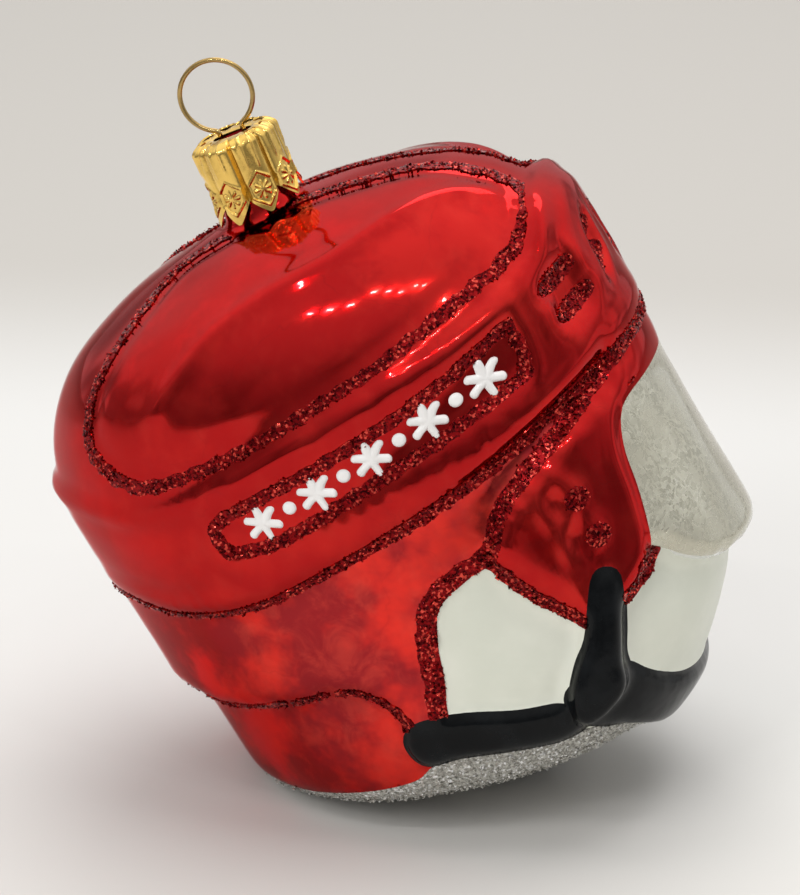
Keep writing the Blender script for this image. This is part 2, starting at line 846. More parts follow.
def activate(obj: bpy.types.Object) -> None:
    """Selects one object alone and makes it active."""
    deselect()
    obj.select_set(True)
    bpy.context.view_layer.objects.active = obj


def reshape(obj: bpy.types.Object, *steps: Callable[[], object]) -> None:
    """Runs edit-mode operators on the whole of an object's mesh.

    Args:
        obj: the object.
        steps: the operators, in order.
    """
    activate(obj)
    bpy.ops.object.mode_set(mode="EDIT")
    for step in steps:
        bpy.ops.mesh.select_all(action="SELECT")
        step()
    bpy.ops.object.mode_set(mode="OBJECT")


def taken(obj: bpy.types.Object) -> tuple[Array, Array]:
    """Takes the points and faces of an object, and removes it.

    Args:
        obj: an object whose faces all have as many corners.

    Returns:
        Its points, and the corners of its faces.
    """
    mesh = obj.data
    spots = np.empty(len(mesh.vertices) * 3)
    mesh.vertices.foreach_get("co", spots)
    corners = np.empty(len(mesh.loops), int)
    mesh.loops.foreach_get("vertex_index", corners)
    faces = corners.reshape(len(mesh.polygons), -1)
    bpy.data.objects.remove(obj)
    bpy.data.meshes.remove(mesh)
    return spots.reshape(-1, 3), faces


def cube_sphere(cuts: int) -> tuple[Array, Array]:
    """Even sphere of small faces, from a subdivided cube.

    Args:
        cuts: faces along each side of the cube.

    Returns:
        Unit directions, and triangles over them.
    """
    deselect()
    bpy.ops.mesh.primitive_cube_add(size=2)
    cube = bpy.context.object
    reshape(cube, lambda: bpy.ops.mesh.subdivide(number_cuts=cuts - 1),
            lambda: bpy.ops.mesh.quads_convert_to_tris(quad_method="SHORTEST_DIAGONAL"))
    spots, faces = taken(cube)
    spots = np.tan(spots * math.pi / 4)
    return spots / np.linalg.norm(spots, axis=1, keepdims=True), faces


def flat_grid(columns: int, rows: int, size: float) -> tuple[Array, Array]:
    """Flat grid about the origin.

    Args:
        columns: cells across.
        rows: cells up.
        size: its width and height.

    Returns:
        Its points in the plane, and its four-cornered faces.
    """
    deselect()
    bpy.ops.mesh.primitive_grid_add(x_subdivisions=columns, y_subdivisions=rows, size=size)
    spots, faces = taken(bpy.context.object)
    return spots[:, :2], faces


def new_object(name: str, points: Array, faces: list, edges: Sequence[tuple[int, int]] = ()
               ) -> bpy.types.Object:
    """Makes an object and puts it in the scene.

    Args:
        name: the object's name.
        points: its points in metres.
        faces: the corners of its faces.
        edges: its edges, where it has no faces yet.

    Returns:
        The new object.
    """
    mesh = bpy.data.meshes.new(name)
    mesh.from_pydata(points.tolist(), edges, faces)
    obj = bpy.data.objects.new(name, mesh)
    bpy.context.collection.objects.link(obj)
    return obj


def new_piece(name: str, points: Array, faces: Array, body: Body, slot: str,
              replaced: tuple[str, ...]) -> bpy.types.Object:
    """Makes a piece from its points and faces, and ties it to the frame.

    Args:
        name: the piece's name.
        points: its points in metres.
        faces: its triangles.
        body: the body that it rides on.
        slot: the record's material slot.
        replaced: CAD nodes that it stands for.

    Returns:
        The new object.
    """
    piece = new_object(name, points, faces.tolist())
    piece.data.validate()
    tie(piece, body, slot, replaced)
    return piece


def tie(piece: bpy.types.Object, body: Body, slot: str, replaced: tuple[str, ...]) -> None:
    """Ties a piece to its body, its slot and the nodes that it stands for.

    Args:
        piece: the piece.
        body: the body that it rides on.
        slot: the record's material slot.
        replaced: CAD nodes that it stands for.
    """
    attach(piece, body.value)
    if replaced:
        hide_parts(*replaced)


def dress(piece: bpy.types.Object, finish: bpy.types.Material) -> None:
    """Gives a piece its finish and reports it."""
    piece.data.materials.clear()
    piece.data.materials.append(finish)
    LOG.info("%s: %d faces", piece.name, len(piece.data.polygons))


def wall(piece: bpy.types.Object, depth: float) -> None:
    """Gives an open surface a wall inwards, of a thickness in millimetres.

    Args:
        piece: the open surface.
        depth: the wall's thickness.
    """
    activate(piece)
    modifier = piece.modifiers.new("wall", "SOLIDIFY")
    modifier.thickness = depth * MM
    modifier.offset = -1.0
    bpy.ops.object.modifier_apply(modifier=modifier.name)


def thicken(piece: bpy.types.Object, depth: float) -> None:
    """Gives an open surface a wall inwards, and shades it smoothly."""
    wall(piece, depth)
    bpy.ops.object.shade_smooth_by_angle(angle=math.radians(50))


class Graph:
    """Short way to build a tree of shader nodes."""

    def __init__(self, tree: bpy.types.NodeTree) -> None:
        """Keeps the tree and empties it."""
        self.tree = tree
        tree.nodes.clear()

    def add(self, kind: str, inputs: dict | None = None, **settings: object) -> bpy.types.Node:
        """Adds a node and fills its inputs.

        Args:
            kind: the node's type, without its ShaderNode prefix, or the full name.
            inputs: what each named or numbered input gets, a value or a socket to join.
            settings: properties set on the node.

        Returns:
            The new node.
        """
        node = self.tree.nodes.new(kind if kind.startswith("NodeGroup") else "ShaderNode" + kind)
        for key, value in settings.items():
            setattr(node, key, value)
        for key, value in (inputs or {}).items():
            if isinstance(value, bpy.types.NodeSocket):
                self.link(value, node.inputs[key])
            else:
                node.inputs[key].default_value = value
        return node

    def link(self, start: bpy.types.NodeSocket, stop: bpy.types.NodeSocket) -> None:
        """Joins two sockets."""
        self.tree.links.new(start, stop)

    def noise(self, where: bpy.types.NodeSocket, scale: float, detail: float = 3.0,
              rough: float = 0.55, warp: float = 0.0) -> bpy.types.NodeSocket:
        """Adds a noise pattern and returns its value.

        Args:
            where: coordinates that the pattern follows.
            scale: how fine it is.
            detail: its layers.
            rough: weight of the fine layers.
            warp: how much it is bent.

        Returns:
            The socket that gives the result.
        """
        return self.add("TexNoise", {"Scale": scale, "Detail": detail, "Roughness": rough,
                                     "Distortion": warp, "Vector": where}).outputs["Fac"]

    def ramp(self, value: bpy.types.NodeSocket, low: float, high: float, start: float = 0.0,
             stop: float = 1.0) -> bpy.types.NodeSocket:
        """Maps a value smoothly from one span to another.

        Args:
            value: the socket that is mapped.
            low: where it starts.
            high: where it is full.
            start: what it gives at the low end.
            stop: what it gives at the high end.

        Returns:
            The socket that gives the result.
        """
        return self.add("MapRange", {"Value": value, "From Min": low, "From Max": high, "To Min": start,
                                     "To Max": stop}, interpolation_type="SMOOTHSTEP").outputs["Result"]

    def math(self, kind: str, first: object, second: object) -> bpy.types.NodeSocket:
        """Adds arithmetic on two values, each a socket or a number.

        Args:
            kind: the operation.
            first: the first value.
            second: the second value.

        Returns:
            The socket that gives the result.
        """
        return self.add("Math", {0: first, 1: second}, operation=kind).outputs[0]

    def mix(self, share: bpy.types.NodeSocket, first: object, second: object,
            blend: str = "MIX") -> bpy.types.NodeSocket:
        """Mixes two colours, each a socket or a tuple.

        Args:
            share: share of the second colour.
            first: the first colour.
            second: the second colour.
            blend: how they are mixed.

        Returns:
            The socket that gives the result.
        """
        ends = {key: (*value, 1) if isinstance(value, tuple) else value
                for key, value in ((6, first), (7, second))}
        return self.add("Mix", {"Factor": share, **ends}, data_type="RGBA", blend_type=blend).outputs[2]



class Effects:
    """Node groups that several finishes use."""

    def __init__(self) -> None:
        """Builds every group once."""
        self.blotches = self.make("blotches", {"Scale": 90.0, "Low": 0.42, "High": 0.66},
                                  ("Mask",), self.build_blotches)
        self.crazing = self.make("crazing", {"Scale": 160.0, "Width": 0.04},
                                 ("Mask", "Tone"), self.build_crazing)
        self.sparkle = self.make("sparkle", {"Scale": 1700.0, "Height": 0.4},
                                 ("Tone", "Bright"), self.build_sparkle)

    @staticmethod
    def make(name: str, numbers: dict[str, float], outputs: tuple[str, ...],
             build: Callable[[Graph, bpy.types.Node], tuple[bpy.types.NodeSocket, ...]]
             ) -> bpy.types.NodeTree:
        """Makes a group with a Vector input, named numbers and named outputs.

        Args:
            name: the group's name.
            numbers: its number inputs and their values.
            outputs: names of its outputs.
            build: adds its nodes.

        Returns:
            The group.
        """
        tree = bpy.data.node_groups.new(name, "ShaderNodeTree")
        tree.interface.new_socket("Vector", in_out="INPUT", socket_type="NodeSocketVector")
        for key, value in numbers.items():
            socket = tree.interface.new_socket(key, in_out="INPUT", socket_type="NodeSocketFloat")
            socket.default_value = value
        for key in outputs:
            tree.interface.new_socket(key, in_out="OUTPUT", socket_type="NodeSocketFloat")
        graph = Graph(tree)
        start = graph.add("NodeGroupInput")
        stop = graph.add("NodeGroupOutput")
        for socket, result in zip(stop.inputs, build(graph, start)):
            graph.link(result, socket)
        return tree

    @staticmethod
    def build_blotches(g: Graph, start: bpy.types.Node) -> tuple[bpy.types.NodeSocket, ...]:
        """Soft clouds where the lacquer ran thin.

        Args:
            g: the graph that gets the nodes.
            start: the group's input node.

        Returns:
            The sockets that feed the group's outputs.
        """
        node = g.add("TexNoise", {"Detail": 4.0, "Roughness": 0.6, "Vector": start.outputs["Vector"],
                                  "Scale": start.outputs["Scale"]})
        span = g.add("MapRange", {"Value": node.outputs["Fac"], "From Min": start.outputs["Low"],
                                  "From Max": start.outputs["High"]}, interpolation_type="SMOOTHSTEP")
        return (span.outputs["Result"],)

    @staticmethod
    def build_crazing(g: Graph, start: bpy.types.Node) -> tuple[bpy.types.NodeSocket, ...]:
        """Fine cracks between cells, and a tone for each cell.

        Args:
            g: the graph that gets the nodes.
            start: the group's input node.

        Returns:
            The sockets that feed the group's outputs.
        """
        bend = g.add("TexNoise", {"Scale": 260.0, "Vector": start.outputs["Vector"]})
        shift = g.add("VectorMath", {0: bend.outputs["Color"], 1: (0.004, 0.004, 0.004),
                                     2: start.outputs["Vector"]}, operation="MULTIPLY_ADD")
        cells = {"Vector": shift.outputs[0], "Scale": start.outputs["Scale"]}
        edge = g.add("TexVoronoi", cells, feature="DISTANCE_TO_EDGE")
        span = g.add("MapRange", {"Value": edge.outputs["Distance"], "From Max": start.outputs["Width"],
                                  "To Min": 1.0, "To Max": 0.0}, interpolation_type="SMOOTHSTEP")
        split = g.add("SeparateColor", {0: g.add("TexVoronoi", cells).outputs["Color"]})
        return span.outputs["Result"], split.outputs[0]

    @staticmethod
    def build_sparkle(g: Graph, start: bpy.types.Node) -> tuple[bpy.types.NodeSocket, ...]:
        """A tone for each grain, and a mask of the few that catch the light.

        Args:
            g: the graph that gets the nodes.
            start: the group's input node.

        Returns:
            The sockets that feed the group's outputs.
        """
        cell = g.add("TexVoronoi", {key: start.outputs[key] for key in ("Vector", "Scale")})
        split = g.add("SeparateColor", {0: cell.outputs["Color"]})
        tone = g.math("MULTIPLY", split.outputs[0], start.outputs["Height"])
        return tone, g.ramp(split.outputs[1], 0.82, 0.9)



@dataclass(frozen=True)
class Clouds:
    """Size of a finish's soft clouds, and the noise values where they begin and are full."""

    scale: float
    low: float
    high: float


@dataclass(frozen=True)
class Base:
    """Plain values of a finish that are the same all over."""

    metallic: float = 0.0
    roughness: float = 0.3
    coat: float = 0.0
    coat_roughness: float = 0.05
    specular: float = 0.5


class Finishes:
    """Every material of the ornament."""

    def __init__(self, effects: Effects) -> None:
        """Builds the materials.

        Args:
            effects: the shared node groups.
        """
        self.effects = effects
        self.red = self.red_lacquer("red_lacquer", 0.25, (0.44, 0.001, 0.002))
        self.red_cloudy = self.red_lacquer("red_lacquer_cloudy", 1.0, (0.34, 0.01, 0.014))
        self.crackle = self.visor_crackle()
        self.pearl = self.pearl_enamel()
        self.black = self.black_enamel()
        self.red_glitter = self.glitter("red_glitter", (0.05, 0.0, 0.002), (0.34, 0.006, 0.008),
                                        (0.9, 0.1, 0.07), 0.9)
        self.white_glitter = self.glitter("white_glitter", (0.26, 0.25, 0.22), (0.6, 0.59, 0.54),
                                          (1.0, 1.0, 1.0), 0.35)
        self.white = self.white_enamel()
        self.gold = self.gold_metal("gold_cap", (0.88, 0.58, 0.15), 0.22)
        self.wire = self.gold_metal("gold_wire", (0.5, 0.34, 0.13), 0.2)
        self.lip = self.lip_lacquer()
        self.glass = self.plain_glass()
        self.mirror = self.plain_mirror()

    def start(self, name: str, base: Base) -> tuple[bpy.types.Material, Graph, bpy.types.Node,
                                                    bpy.types.NodeSocket]:
        """Starts a material.

        Args:
            name: the material's name.
            base: its plain values.

        Returns:
            The material, its graph, its main shader and the object coordinates.
        """
        material = bpy.data.materials.new(name)
        material.use_nodes = True
        g = Graph(material.node_tree)
        shader = g.add("BsdfPrincipled", {
            "Metallic": base.metallic, "Roughness": base.roughness, "Coat Weight": base.coat,
            "Coat Roughness": base.coat_roughness, "Specular IOR Level": base.specular})
        g.add("OutputMaterial", {"Surface": shader.outputs[0]})
        return material, g, shader, g.add("TexCoord").outputs["Object"]

    def group(self, g: Graph, tree: bpy.types.NodeTree, where: bpy.types.NodeSocket,
              **numbers: float) -> bpy.types.Node:
        """Places a shared group with its own values.

        Args:
            g: the graph that gets the nodes.
            tree: the group.
            where: coordinates that the pattern follows.
            numbers: values of its inputs.

        Returns:
            The group's node.
        """
        return g.add("Group", {"Vector": where, **numbers}, node_tree=tree)

    @staticmethod
    def bump(g: Graph, shader: bpy.types.Node, height: bpy.types.NodeSocket, strength: float,
             distance: float) -> None:
        """Feeds a height, whose full distance is given in millimetres, to the shader's normal.

        Args:
            g: the graph that gets the nodes.
            shader: the main shader.
            height: the height from 0 to 1.
            strength: share of it that shows.
            distance: its full height in millimetres.
        """
        node = g.add("Bump", {"Strength": strength, "Distance": distance * MM, "Height": height})
        g.link(node.outputs[0], shader.inputs["Normal"])

    def clouded(self, g: Graph, shader: bpy.types.Node, where: bpy.types.NodeSocket, clouds: Clouds,
                first: Color, second: Color) -> bpy.types.NodeSocket:
        """Colours a shader in soft clouds of two tones.

        Args:
            g: the material's graph.
            shader: its main shader.
            where: the object coordinates.
            clouds: how large the clouds are and how they fade.
            first: colour between the clouds.
            second: colour inside them.

        Returns:
            The mask of the clouds.
        """
        mask = self.group(g, self.effects.blotches, where, Scale=clouds.scale, Low=clouds.low,
                          High=clouds.high).outputs["Mask"]
        g.link(g.mix(mask, first, second), shader.inputs["Base Color"])
        return mask

    def red_lacquer(self, name: str, clouds: float, deep: Color) -> bpy.types.Material:
        """Translucent red lacquer over silvered glass, thin in clouds.

        Args:
            name: the material's name.
            clouds: how clearly the clouds show.
            deep: colour where the lacquer is thick.

        Returns:
            The material.
        """
        material, g, shader, where = self.start(name, Base(metallic=1.0, roughness=0.2, coat=0.3,
                                                           coat_roughness=0.03))
        shader.inputs["Specular Tint"].default_value = (0.62, 0.03, 0.03, 1)
        cloud = self.group(g, self.effects.blotches, where, Scale=85.0, Low=0.42, High=0.66)
        streak = g.ramp(g.noise(where, 220.0, 4.0, 0.65, 0.6), 0.45, 0.72)
        crack = self.group(g, self.effects.crazing, where, Scale=38.0, Width=0.004)
        thin = g.math("MULTIPLY", cloud.outputs["Mask"], clouds)
        color = g.mix(thin, deep, (0.86, 0.03, 0.018))
        color = g.mix(g.math("MULTIPLY", streak, 0.3 * clouds), color, (0.9, 0.08, 0.05))
        color = g.mix(g.math("MULTIPLY", crack.outputs["Mask"], 0.15), color, (0.2, 0.0, 0.004))
        g.link(color, shader.inputs["Base Color"])
        g.link(g.ramp(cloud.outputs["Mask"], 0, 1, 0.09, 0.11 + 0.16 * clouds), shader.inputs["Roughness"])
        self.bump(g, shader, g.noise(where, 130.0, 2.0), 0.25, 0.25)
        return material

    def visor_crackle(self) -> bpy.types.Material:
        """Silver lacquer crazed with fine cracks, tarnished to grey-green.

        Returns:
            The material.
        """
        material, g, shader, where = self.start("visor_crackle", Base(metallic=0.75, roughness=0.3,
                                                                      coat=0.8, coat_roughness=0.08))
        fine = self.group(g, self.effects.crazing, where, Scale=1900.0, Width=0.08)
        coarse = self.group(g, self.effects.crazing, where, Scale=640.0, Width=0.05)
        patchy = g.ramp(g.noise(where, 70.0, 4.0, 0.6), 0.42, 0.62)
        color = g.mix(fine.outputs["Tone"], (0.42, 0.41, 0.32), (0.72, 0.71, 0.59))
        color = g.mix(g.math("MULTIPLY", coarse.outputs["Mask"], 0.35), color, (0.95, 0.94, 0.86))
        color = g.mix(g.math("MULTIPLY", coarse.outputs["Tone"], 0.3), color, (0.42, 0.4, 0.31))
        color = g.mix(g.math("MULTIPLY", patchy, 0.7), (0.52, 0.5, 0.4), color)
        g.link(color, shader.inputs["Base Color"])
        g.link(g.ramp(fine.outputs["Tone"], 0, 1, 0.18, 0.4), shader.inputs["Roughness"])
        height = g.math("ADD", fine.outputs["Tone"], coarse.outputs["Tone"])
        self.bump(g, shader, g.math("MULTIPLY", height, g.math("ADD", patchy, 0.1)), 0.5, 0.12)
        return material

    def pearl_enamel(self) -> bpy.types.Material:
        """Matt pearl white enamel with faint brush marks.

        Returns:
            The material.
        """
        material, g, shader, where = self.start("pearl_white", Base(metallic=0.25, roughness=0.42,
                                                                    coat=0.25, coat_roughness=0.25))
        self.clouded(g, shader, where, Clouds(60.0, 0.3, 0.75), (0.7, 0.72, 0.62), (0.8, 0.81, 0.71))
        stretched = g.add("Mapping")
        stretched.inputs["Scale"].default_value = (1.0, 1.0, 6.0)
        g.link(where, stretched.inputs["Vector"])
        self.bump(g, shader, g.noise(stretched.outputs[0], 160.0, 3.0), 0.18, 0.2)
        return material

    def black_enamel(self) -> bpy.types.Material:
        """Satin black enamel put on thickly by brush.

        Returns:
            The material.
        """
        material, g, shader, where = self.start("black_enamel", Base(roughness=0.25, specular=0.15))
        mask = self.clouded(g, shader, where, Clouds(150.0, 0.35, 0.7), (0.002, 0.0025, 0.003),
                            (0.006, 0.007, 0.008))
        g.link(g.ramp(mask, 0, 1, 0.13, 0.26), shader.inputs["Roughness"])
        self.bump(g, shader, g.noise(where, 230.0, 2.0), 0.4, 0.3)
        return material

    def glitter(self, name: str, dark: Color, light: Color, spark: Color, metallic: float
                ) -> bpy.types.Material:
        """Flakes in glue, each with its own tone, a few of them bright.

        Args:
            name: the material's name.
            dark: colour of the darkest flakes.
            light: colour of the lightest flakes.
            spark: colour of the few bright ones.
            metallic: share of metal in the flakes.

        Returns:
            The material.
        """
        material, g, shader, where = self.start(name, Base(metallic=metallic, roughness=0.25))
        grain = self.group(g, self.effects.sparkle, where, Scale=3000.0, Height=1.0)
        color = g.mix(grain.outputs["Tone"], dark, light)
        color = g.mix(g.math("MULTIPLY", grain.outputs["Bright"], 0.8), color, spark)
        g.link(color, shader.inputs["Base Color"])
        g.link(g.ramp(grain.outputs["Tone"], 0, 1, 0.16, 0.4), shader.inputs["Roughness"])
        self.bump(g, shader, grain.outputs["Tone"], 0.5, 0.15)
        return material

    def white_enamel(self) -> bpy.types.Material:
        """Thick gloss white enamel.

        Returns:
            The material.
        """
        material, g, shader, where = self.start("white_enamel", Base(roughness=0.3, coat=0.3))
        self.clouded(g, shader, where, Clouds(300.0, 0.3, 0.8), (0.78, 0.76, 0.74), (0.88, 0.87, 0.86))
        self.bump(g, shader, g.noise(where, 500.0, 2.0), 0.3, 0.12)
        return material

    def gold_metal(self, name: str, color: Color, roughness: float) -> bpy.types.Material:
        """Thin pressed metal with a gold finish, creased and dulled in places.

        Args:
            name: the material's name.
            color: the metal's colour.
            roughness: its roughness.

        Returns:
            The material.
        """
        material, g, shader, where = self.start(name, Base(metallic=1.0, roughness=roughness))
        deep = tuple(0.62 * part for part in color)
        mask = self.clouded(g, shader, where, Clouds(260.0, 0.35, 0.75), color, deep)
        g.link(g.ramp(mask, 0, 1, roughness * 0.7, roughness * 1.6), shader.inputs["Roughness"])
        self.bump(g, shader, g.noise(where, 700.0, 3.0), 0.35, 0.15)
        return material

    def lip_lacquer(self) -> bpy.types.Material:
        """Pale gloss lacquer on the visor's rounded edge.

        Returns:
            The material.
        """
        material, g, shader, where = self.start("clear_lip", Base(metallic=0.35, roughness=0.16,
                                                                  coat=1.0, coat_roughness=0.04))
        self.clouded(g, shader, where, Clouds(200.0, 0.35, 0.7), (0.6, 0.62, 0.55), (0.82, 0.83, 0.79))
        return material

    def plain_glass(self) -> bpy.types.Material:
        """Silvered glass as it shows at the open neck."""
        material, g, shader, where = self.start("glass", Base(metallic=0.7, roughness=0.12, coat=1.0))
        self.clouded(g, shader, where, Clouds(400.0, 0.4, 0.7), (0.75, 0.77, 0.77), (0.5, 0.52, 0.52))
        return material

    def plain_mirror(self) -> bpy.types.Material:
        """Mirror silvering."""
        material, g, shader, where = self.start("silvering", Base(metallic=1.0, roughness=0.1))
        self.clouded(g, shader, where, Clouds(200.0, 0.4, 0.8), (0.85, 0.86, 0.87), (0.6, 0.6, 0.58))
        return material


@dataclass
class Flakes:
    """Loose flat flakes scattered over a patch, in millimetres of the frame."""

    rng: np.random.Generator
    radius: tuple[float, float] = (0.13, 0.28)
    thickness: float = 0.04
    lift: float = 0.36
    tilt_deg: float = 75.0
    corners: int = 4

    def template(self) -> tuple[Array, Array]:
        """One flake about the origin, from a flat cylinder of a few sides.

        Returns:
            Its points and its triangles.
        """
        deselect()
        bpy.ops.mesh.primitive_cylinder_add(vertices=self.corners, radius=1.0, depth=1.0)
        flake = bpy.context.object
        reshape(flake, lambda: bpy.ops.mesh.quads_convert_to_tris())
        return taken(flake)

    def scatter(self, points: Array, faces: Array, density: float) -> tuple[Array, Array]:
        """Scatters flakes over triangles.

        Args:
            points: the surface's points in millimetres of the frame.
            faces: its triangles.
            density: flakes per square millimetre.

        Returns:
            The flakes' points in millimetres and their triangles.
        """
        a, b, c = (points[faces[:, i]] for i in range(3))
        flat = np.cross(b - a, c - a)
        area = np.linalg.norm(flat, axis=1) / 2
        count = int(area.sum() * density)
        picked = self.rng.choice(len(faces), count, p=area / area.sum())
        u, v = self.rng.random((2, count))
        over = u + v > 1
        u, v = np.where(over, 1 - u, u), np.where(over, 1 - v, v)
        normal = flat[picked] / (2 * area[picked])[:, None]
        spot = a[picked] + u[:, None] * (b - a)[picked] + v[:, None] * (c - a)[picked]
        spot = spot + normal * (self.lift * self.rng.random(count) ** 1.4)[:, None]
        way = self.rng.normal(size=(count, 3))
        way -= normal * np.einsum("ij,ij->i", way, normal)[:, None]
        way /= np.linalg.norm(way, axis=1, keepdims=True)
        tilt = np.radians(self.tilt_deg) * self.rng.random(count)
        axis = normal * np.cos(tilt)[:, None] + way * np.sin(tilt)[:, None]
        side = np.cross(axis, normal + 0.01)
        side /= np.linalg.norm(side, axis=1, keepdims=True)
        other = np.cross(axis, side)
        size = self.rng.uniform(*self.radius, count)
        base, tris = self.template()
        local = base[None] * np.stack([size, size, np.full(count, self.thickness)], 1)[:, None]
        placed = (spot[:, None] + local[..., :1] * side[:, None] + local[..., 1:2] * other[:, None]
                  + local[..., 2:] * axis[:, None])
        whole = (tris[None] + len(base) * np.arange(count)[:, None, None]).reshape(-1, 3)
        return placed.reshape(-1, 3), whole


@dataclass(frozen=True)
class MarkSizes:
    """Sizes of the raised enamel marks on the band, in millimetres."""

    count: int = 9
    star: float = 5.7
    stroke: float = 1.2
    dot: float = 0.95
    rise: float = 0.55
    sink: float = 0.06
    rounding: float = 0.6
    spill: float = 0.02
    field: float = 8.0
    cells: int = 56
    wall: float = 0.3


class Head:
    """The moulded head: glass, coats and glitter."""

    def __init__(self, sizes: HeadSizes, finishes: Finishes) -> None:
        """Makes the surface at the two finenesses that the pieces need.

        Args:
            sizes: sizes of the head.
            finishes: the materials.
        """
        self.sizes = sizes
        self.finishes = finishes
        self.form = HeadForm(sizes)
        self.rng = np.random.default_rng(7)
        self.fine = self.surface(FINE_CUTS)
        self.plain = self.surface(PLAIN_CUTS)

    def surface(self, cuts: int) -> Patch:
        """The head's whole surface.

        Args:
            cuts: faces along each side of the cube that it starts from.

        Returns:
            The surface as a patch.
        """
        ways, faces = cube_sphere(cuts)
        points = self.form.project(self.form.centre + self.form.start * ways)
        for _ in range(RELAX_ROUNDS):
            points = self.form.settle(self.neighbours(points, faces))
        for _ in range(SOFTEN_ROUNDS):
            points = (points + self.neighbours(points, faces)) / 2
        return Patch(points, faces, self.form.channels(points))

    @staticmethod
    def neighbours(points: Array, faces: Array) -> Array:
        """Mean place of the points next to each point.

        Args:
            points: the points.
            faces: triangles over the points.

        Returns:
            One place per point.
        """
        begin, end = faces.ravel(), faces[:, [1, 2, 0]].ravel()
        share = np.bincount(begin, minlength=len(points))[:, None]
        return np.column_stack([np.bincount(begin, points[end, i], len(points))
                                for i in range(3)]) / share

    @staticmethod
    def zone(patch: Patch, inside: dict[str, float], outside: dict[str, float]) -> Patch:
        """Cuts a patch to what lies inside some outlines and outside others.

        Args:
            patch: the patch.
            inside: outlines that hold it, each with how far it may pass them.
            outside: outlines that it stays off, each with its distance.

        Returns:
            The patch that is left.
        """
        for key, reach in inside.items():
            patch = patch.keep(reach - patch.values[key])
        for key, gap in outside.items():
            patch = patch.keep(patch.values[key] - gap)
        return patch

    def coat(self, name: str, patch: Patch, slot: str, finish: bpy.types.Material,
             depth: float = 0.7) -> None:
        """Makes one coat from its patch.

        Args:
            name: the piece's name, which is also that of the node it stands for.
            patch: its surface.
            slot: the record's material slot.
            finish: its material.
            depth: its wall.
        """
        piece = new_piece(name + "_coat", self.sizes.place(patch.points), patch.faces,
                          Body.ORNAMENT, slot, (name,))
        thicken(piece, depth)
        dress(piece, finish)

    def coats(self) -> Patch:
        """Makes every coat of lacquer and enamel.

        Returns:
            The underside's surface, which glitter covers instead.
        """
        f = self.finishes
        edge, thick, lip = COAT_REACH, BLACK_REACH, LIP_REACH
        fine, plain = self.fine, self.plain
        crown = self.zone(plain, {}, {"under_crown": CREST_REACH, "neck": NECK_HOLE})
        self.coat("crown_lacquer", crown, "red_lacquer", f.red)
        reach = np.where(fine.values["z"] > self.sizes.band_middle, CREST_REACH, edge)
        self.coat("band_lacquer", fine.keep(reach - fine.values["band"]), "red_lacquer", f.red)
        off = {"band": edge, "guard": edge, "visor": edge, "arm": thick, "strap": thick}
        self.coat("shell_lacquer", self.zone(fine, {"shell": edge}, off), "red_lacquer", f.red_cloudy)
        self.coat("ear_guard_lacquer", self.zone(fine, {"guard": edge}, {"band": edge, "arm": thick}),
                  "red_lacquer", f.red)
        self.coat("visor_crackle", self.zone(fine, {"visor": edge}, {"band": edge, "guard": edge}),
                  "crackle_silver", f.crackle)
        self.coat("visor_lip", self.zone(fine, {"lip": lip}, {"visor": edge, "guard": edge}),
                  "clear_lip", f.lip)
        v = fine.values
        strap = fine.keep(thick - np.minimum(v["arm"], np.maximum(v["strap"], 2 * thick - v["cup"])))
        self.coat("chin_strap_enamel", strap, "black_enamel", f.black)
        self.coat("chin_cup_enamel", self.zone(fine, {"cup": thick}, {"arm": thick}), "black_enamel",
                  f.black)
        rest = {"shell": edge, "guard": edge, "band": edge, "visor": edge, "lip": lip, "arm": thick,
                "strap": thick, "cup": thick}
        skull = self.zone(fine, {"under_crown": -5.0}, rest)
        under = skull.keep(-skull.values["hem"])
        upper = skull.keep(skull.values["hem"])
        self.coat("collar_lacquer", upper.keep(EAR_BACK - upper.values["x"]), "red_lacquer",
                  f.red_cloudy)
        face = upper.keep(upper.values["x"] - EAR_FRONT)
        self.coat("face_enamel", face, "pearl_white", f.pearl)
        ears = upper.keep(upper.values["x"] - EAR_BACK)
        ears = ears.keep(EAR_FRONT - ears.values["x"])
        for side, name in ((-1, "ear_enamel_right"), (1, "ear_enamel_left")):
            self.coat(name, ears.keep(side * ears.values["y"]), "pearl_white", f.pearl)
        return under

    def glitter(self, name: str, patch: Patch, slot: str, finish: bpy.types.Material,
                density: float, bed: float = 0.18) -> None:
        """Makes one area of glitter: a bed of glue and loose flakes on it.

        Args:
            name: the node that it stands for.
            patch: the surface that it covers.
            slot: the record's material slot.
            finish: its material.
            density: flakes per square millimetre.
            bed: thickness of the bed.
        """
        raised = patch.raised(np.full(len(patch.points), bed))
        bed_piece = new_piece(name + "_flakes", self.sizes.place(raised.points), raised.faces,
                              Body.ORNAMENT, slot, (name,))
        thicken(bed_piece, bed + 0.25)
        spots = self.sizes.place(patch.points) / MM
        points, faces = Flakes(self.rng).scatter(spots, patch.faces, density)
        points[:, 2] = np.maximum(points[:, 2], 0.0)
        loose = new_object("loose", points * MM, faces.tolist())
        activate(bed_piece)
        loose.select_set(True)
        bpy.ops.object.join()
        dress(bed_piece, finish)

    @staticmethod
    def ragged(patch: Patch, value: Array, wobble: float = 0.35) -> Patch:
        """Keeps where a value is positive, with a hand-drawn wander along its edge.

        Args:
            patch: the surface.
            value: one value per point.
            wobble: how far the edge wanders.

        Returns:
            What is left of it.
        """
        x, y, z = patch.points.T
        wander = (np.sin(1.9 * x + 1.3 * np.sin(0.8 * z)) + np.sin(2.3 * z + 1.1 * y)
                  + 0.6 * np.sin(4.1 * x - 3.3 * y))
        return patch.keep(value + wobble * wander / 2.6)

